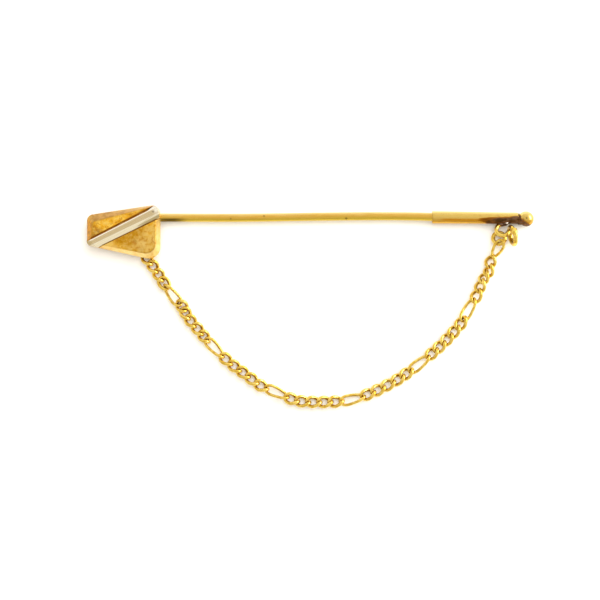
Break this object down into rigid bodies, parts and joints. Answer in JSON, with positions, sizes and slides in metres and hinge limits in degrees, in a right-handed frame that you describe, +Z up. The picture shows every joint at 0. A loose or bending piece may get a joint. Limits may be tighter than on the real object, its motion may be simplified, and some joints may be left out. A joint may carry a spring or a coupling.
{
  "type": "chain pin",
  "caption": "Gold stick pin with a two-colour bevelled plaque head, a slip-on ball-ended point sheath and a figaro guard chain joining the two.",
  "frame": {"origin": "middle of the bounding box in plan, on the surface that the pin lies on", "axes": "+X along the stem from the plaque to the ball end, +Y across the stem away from the chain, +Z up out of the plaque's face"},
  "size_m": [0.065, 0.0296, 0.0032],
  "materials": {
    "yellow_gold": "satin yellow gold, worn and mottled",
    "white_gold": "polished white gold",
    "sheath_gold": "drawn yellow gold with fire scale near the solder",
    "chain_gold": "polished yellow gold"
  },
  "bodies": {
    "root": {"head_and_stem": "yellow_gold", "accent_bar": "white_gold", "sheath": "sheath_gold", "jump_ring": "chain_gold", "chain": "chain_gold"}
  },
  "joints": []
}
